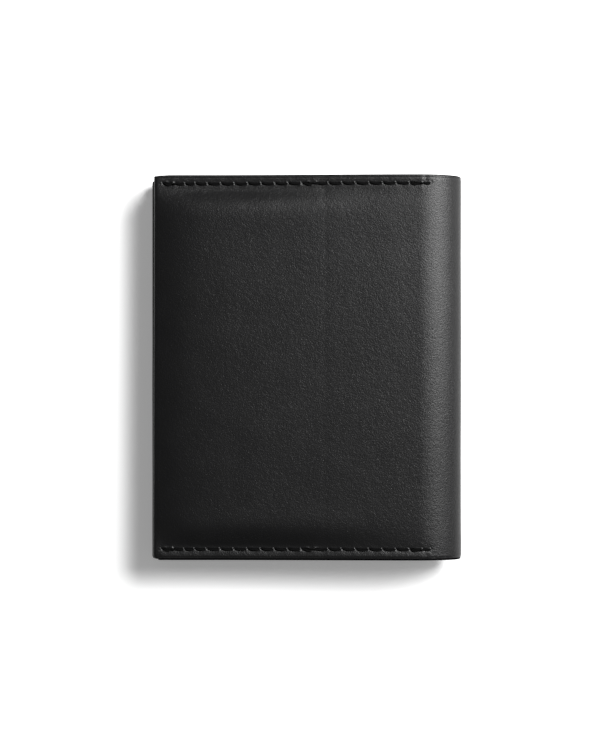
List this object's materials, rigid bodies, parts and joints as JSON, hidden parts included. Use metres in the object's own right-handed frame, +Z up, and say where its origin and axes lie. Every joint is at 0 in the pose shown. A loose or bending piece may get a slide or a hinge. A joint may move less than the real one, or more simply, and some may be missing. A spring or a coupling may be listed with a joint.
{
  "type": "bifold wallet",
  "caption": "Tall bifold wallet in folded leather, sewn along the top and bottom edges, with card pockets and a note sleeve behind a rounded spine.",
  "frame": {"origin": "centre of the closed wallet's footprint, on the surface it lies on", "axes": "+Z up through the thickness, +Y up the height of the wallet, +X from the outer fold towards the spine"},
  "size_m": [0.0778, 0.096, 0.0129],
  "materials": {
    "cover_leather": "smooth satin, fine pebble grain",
    "inner_leather": "smooth satin",
    "lining_cloth": "plain woven",
    "thread": "waxed twisted thread"
  },
  "bodies": {
    "front_leaf": {"front_cover": "cover_leather", "front_lining": "lining_cloth", "note_divider": "lining_cloth", "rear_slot_panel": "inner_leather", "rear_slot_backing": "lining_cloth", "front_pocket_backing": "lining_cloth", "front_seam_top": "thread", "front_seam_bottom": "thread", "front_bartacks": "thread"},
    "spine_1": {"spine_leather_1": "cover_leather", "spine_lining_1": "lining_cloth"},
    "spine_2": {"spine_leather_2": "cover_leather", "spine_lining_2": "lining_cloth"},
    "back_leaf": {"back_cover": "cover_leather", "back_lining": "lining_cloth", "stack_pocket_backing": "lining_cloth", "back_seam_top": "thread", "back_seam_bottom": "thread", "back_bartacks": "thread"}
  },
  "joints": [
    {"name": "fold_1", "type": "hinge", "parent": "front_leaf", "child": "spine_1", "pos_m": [0.03567, 0, 0.00086], "axis": [0, 1, 0], "range_deg": [0, 60]},
    {"name": "fold_2", "type": "hinge", "parent": "spine_1", "child": "spine_2", "pos_m": [0.0389, 0, 0.00645], "axis": [0, 1, 0], "range_deg": [0, 60]},
    {"name": "fold_3", "type": "hinge", "parent": "spine_2", "child": "back_leaf", "pos_m": [0.03567, 0, 0.01204], "axis": [0, 1, 0], "range_deg": [0, 60]}
  ],
  "couplings": [
    {"joint": "fold_2", "follows": "fold_1", "ratio": 1},
    {"joint": "fold_3", "follows": "fold_1", "ratio": 1}
  ]
}
